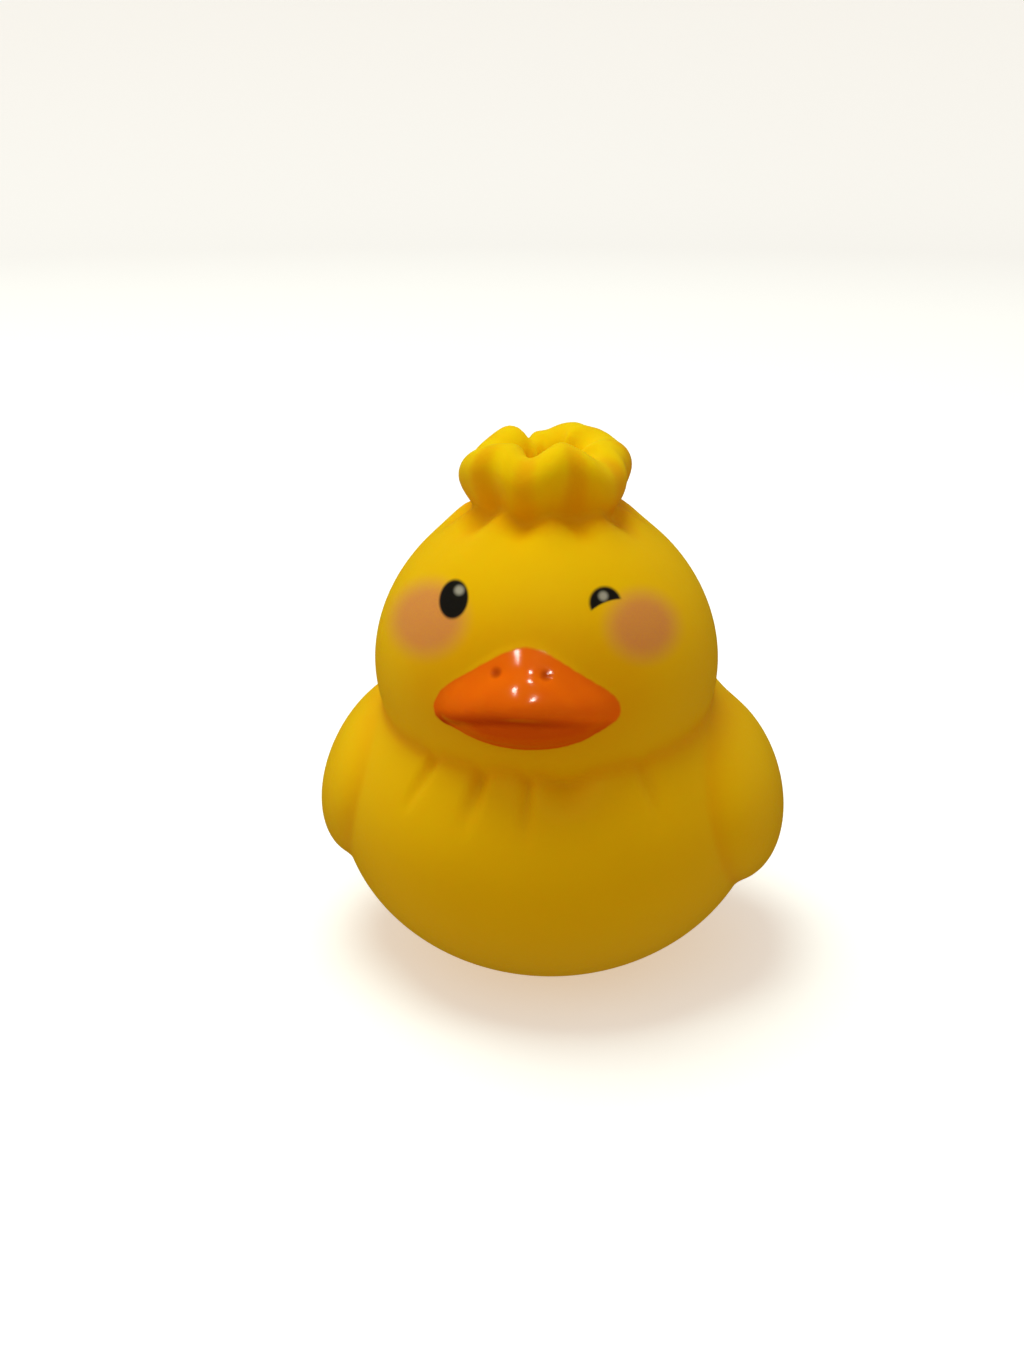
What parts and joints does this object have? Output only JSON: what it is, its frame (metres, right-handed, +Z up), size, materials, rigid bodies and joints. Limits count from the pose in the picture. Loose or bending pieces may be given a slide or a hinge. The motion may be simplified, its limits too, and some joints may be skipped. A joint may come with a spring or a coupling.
{
  "type": "rubber duck",
  "caption": "Small hollow vinyl bath duck with a round head, winking painted face, gathered open topknot, orange bill, wide wings, short tail and a flat foot.",
  "frame": {"origin": "on the resting plane, under the middle of the whole duck", "axes": "+Z up, the duck looks along -Y, its own left is +X"},
  "size_m": [0.0506, 0.0528, 0.0576],
  "materials": {
    "yellow_vinyl": "matte"
  },
  "bodies": {
    "root": {"duck_shell": "yellow_vinyl"}
  },
  "joints": []
}
